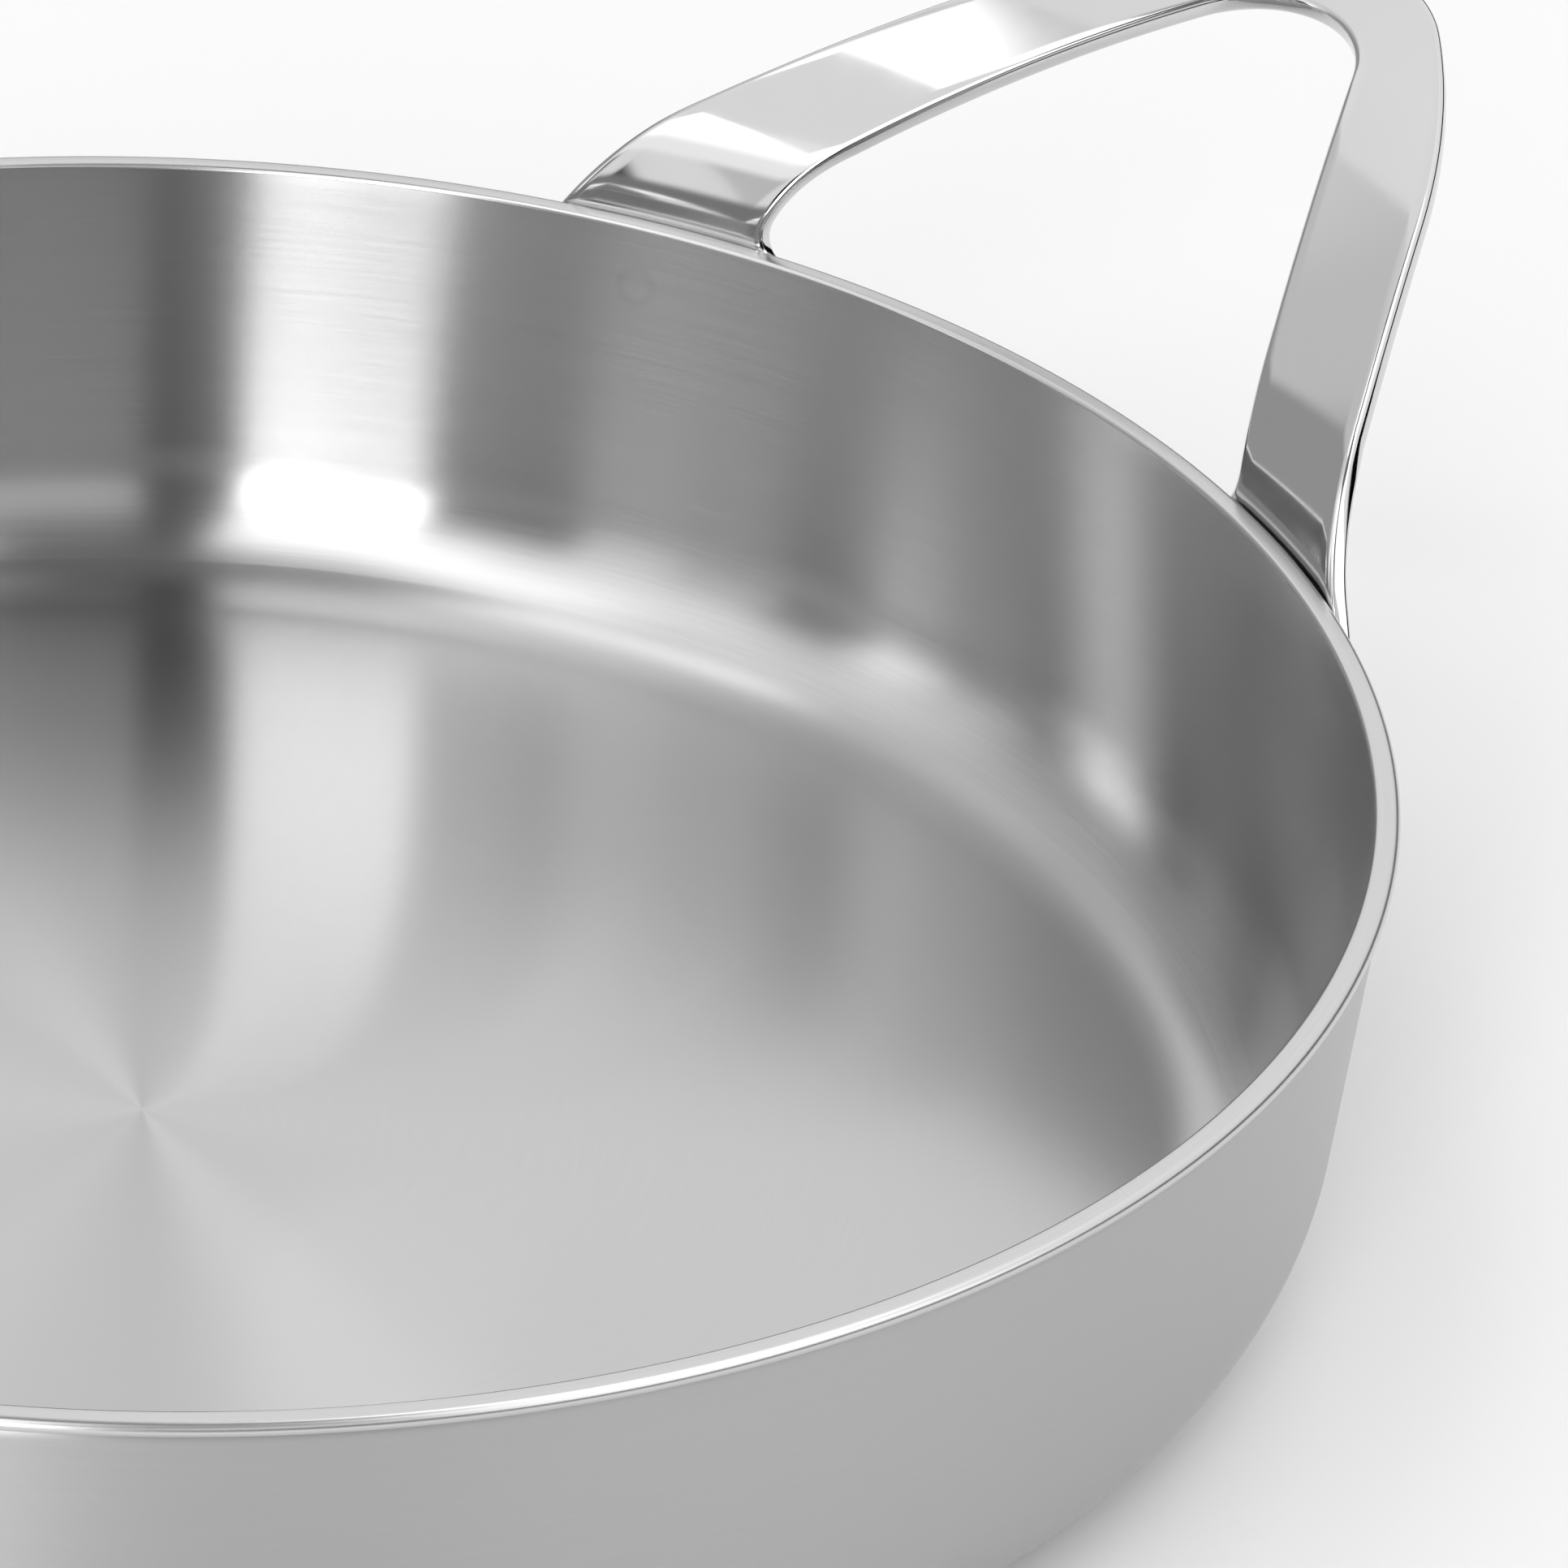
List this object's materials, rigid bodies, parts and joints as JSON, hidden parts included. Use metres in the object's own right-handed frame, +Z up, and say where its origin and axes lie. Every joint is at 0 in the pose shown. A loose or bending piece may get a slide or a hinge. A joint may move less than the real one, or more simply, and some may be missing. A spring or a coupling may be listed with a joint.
{
  "type": "frying pan",
  "caption": "Round frying pan in clad stainless steel, with a rolled flat rim, low steep walls and opposed upswept loop handles welded to the wall.",
  "frame": {"origin": "centre of the pan's flat base, on the surface that the pan stands on", "axes": "+Z up along the pan's axis; +X from the pan's axis through the middle of the right handle"},
  "size_m": [0.4092, 0.2862, 0.092],
  "materials": {
    "satin_steel": "satin, brushed round the bowl",
    "aluminium": "mill finish, sealed inside",
    "brushed_steel": "brushed round the wall",
    "polished_steel": "mirror polished stainless steel",
    "weld_steel": "bare weld metal"
  },
  "bodies": {
    "root": {"cooking_lining": "satin_steel", "heat_core": "aluminium", "outer_shell": "brushed_steel", "handle_right": "polished_steel", "handle_left": "polished_steel", "weld_pad_right_rear": "weld_steel", "weld_pad_right_front": "weld_steel", "weld_pad_left_rear": "weld_steel", "weld_pad_left_front": "weld_steel"}
  },
  "joints": []
}
